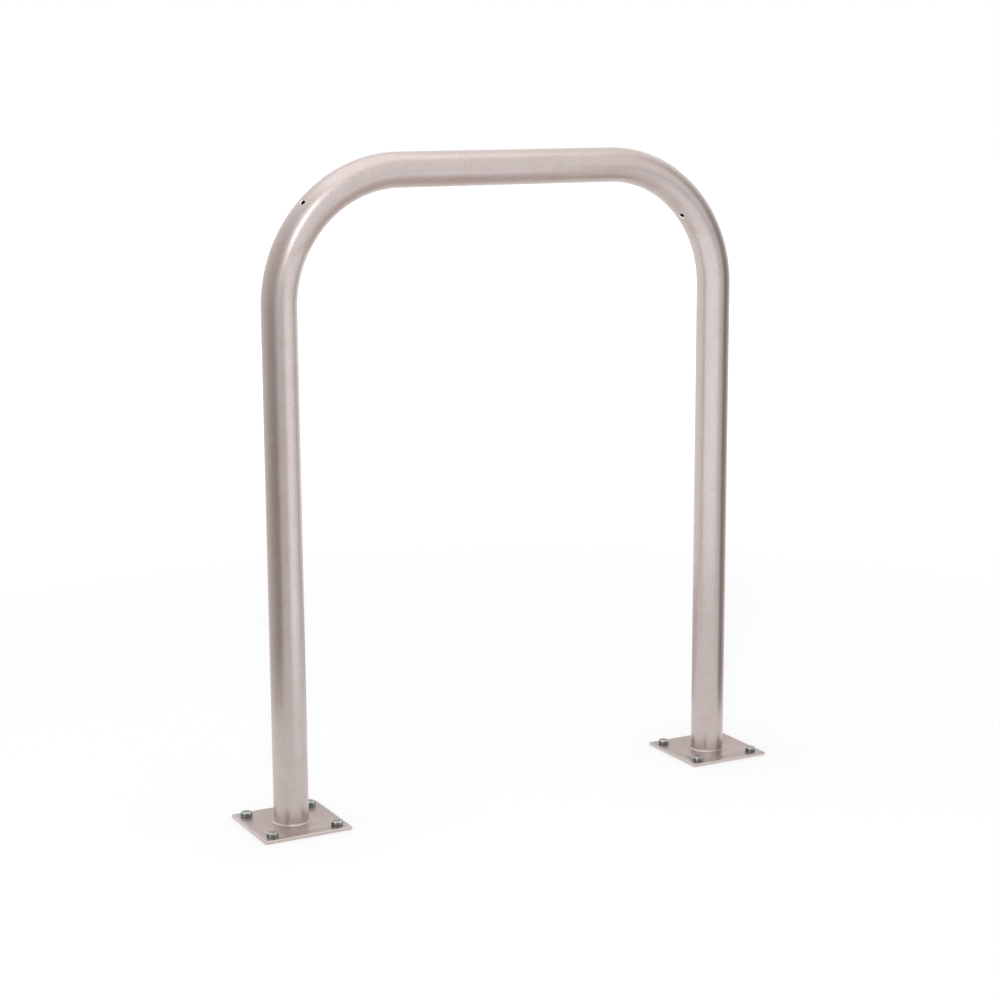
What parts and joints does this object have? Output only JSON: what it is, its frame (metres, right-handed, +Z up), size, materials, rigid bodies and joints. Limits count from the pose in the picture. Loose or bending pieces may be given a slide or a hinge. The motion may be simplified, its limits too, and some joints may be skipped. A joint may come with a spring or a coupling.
{
  "type": "hoop bike rack",
  "caption": "Hoop bike rack: a round steel tube bent into a hoop and welded to square foot plates, bolted down into threaded ground anchors, with a silver metallic coat.",
  "frame": {"origin": "on the ground plane, which is both foot plates' underside, midway between the two legs", "axes": "+X from the left leg to the right leg, +Y towards the rack's back, +Z up; the hoop lies in the plane Y = 0"},
  "size_m": [0.813, 0.127, 0.9607],
  "materials": {
    "silver_coat": "satin metallic silver coat with a fine grain, slightly warm",
    "zinc_bolt": "bright zinc plate, grey-green, with worn bright edges",
    "zinc_anchor": "zinc plate, dull"
  },
  "bodies": {
    "root": {"hoop_tube": "silver_coat", "left_foot_plate": "silver_coat", "left_weld_bead": "silver_coat", "left_foot_front_left_bolt": "zinc_bolt", "left_foot_front_left_anchor": "zinc_anchor", "left_foot_front_right_bolt": "zinc_bolt", "left_foot_front_right_anchor": "zinc_anchor", "left_foot_back_left_bolt": "zinc_bolt", "left_foot_back_left_anchor": "zinc_anchor", "left_foot_back_right_bolt": "zinc_bolt", "left_foot_back_right_anchor": "zinc_anchor", "right_foot_plate": "silver_coat", "right_weld_bead": "silver_coat", "right_foot_front_left_bolt": "zinc_bolt", "right_foot_front_left_anchor": "zinc_anchor", "right_foot_front_right_bolt": "zinc_bolt", "right_foot_front_right_anchor": "zinc_anchor", "right_foot_back_left_bolt": "zinc_bolt", "right_foot_back_left_anchor": "zinc_anchor", "right_foot_back_right_bolt": "zinc_bolt", "right_foot_back_right_anchor": "zinc_anchor"}
  },
  "joints": []
}
